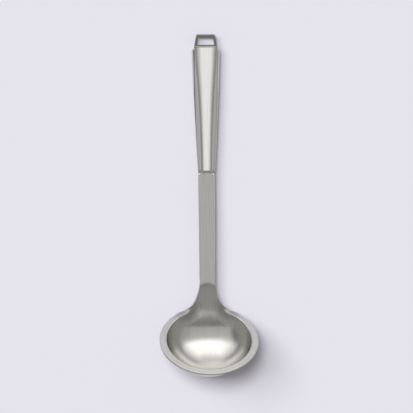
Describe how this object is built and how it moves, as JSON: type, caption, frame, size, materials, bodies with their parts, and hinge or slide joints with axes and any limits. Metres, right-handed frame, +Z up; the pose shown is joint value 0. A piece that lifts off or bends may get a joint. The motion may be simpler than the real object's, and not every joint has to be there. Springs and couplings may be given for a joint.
{
  "type": "soup ladle",
  "caption": "Serving ladle with a deep round lipped bowl set at an angle to a flat shank, a hollow tapered handle and a flat loop to hang it by.",
  "frame": {"origin": "centre of the bounding box's underside: the ladle lies on its bowl and on the back of its handle, with the bowl's opening up", "axes": "+Z up, +Y along the shank from the bowl to the hanging loop, +X to the right when seen from above with the loop at the top"},
  "size_m": [0.0922, 0.3193, 0.0689],
  "materials": {
    "pressed_steel": "satin brushed stainless steel, brighter inside the bowl",
    "handle_steel": "finely satin polished stainless steel",
    "loop_steel": "darker satin stainless steel"
  },
  "bodies": {
    "root": {"bowl_and_shank": "pressed_steel", "handle_front_shell": "handle_steel", "handle_back_shell": "handle_steel", "handle_end_cap": "handle_steel", "hanging_loop": "loop_steel"}
  },
  "joints": []
}
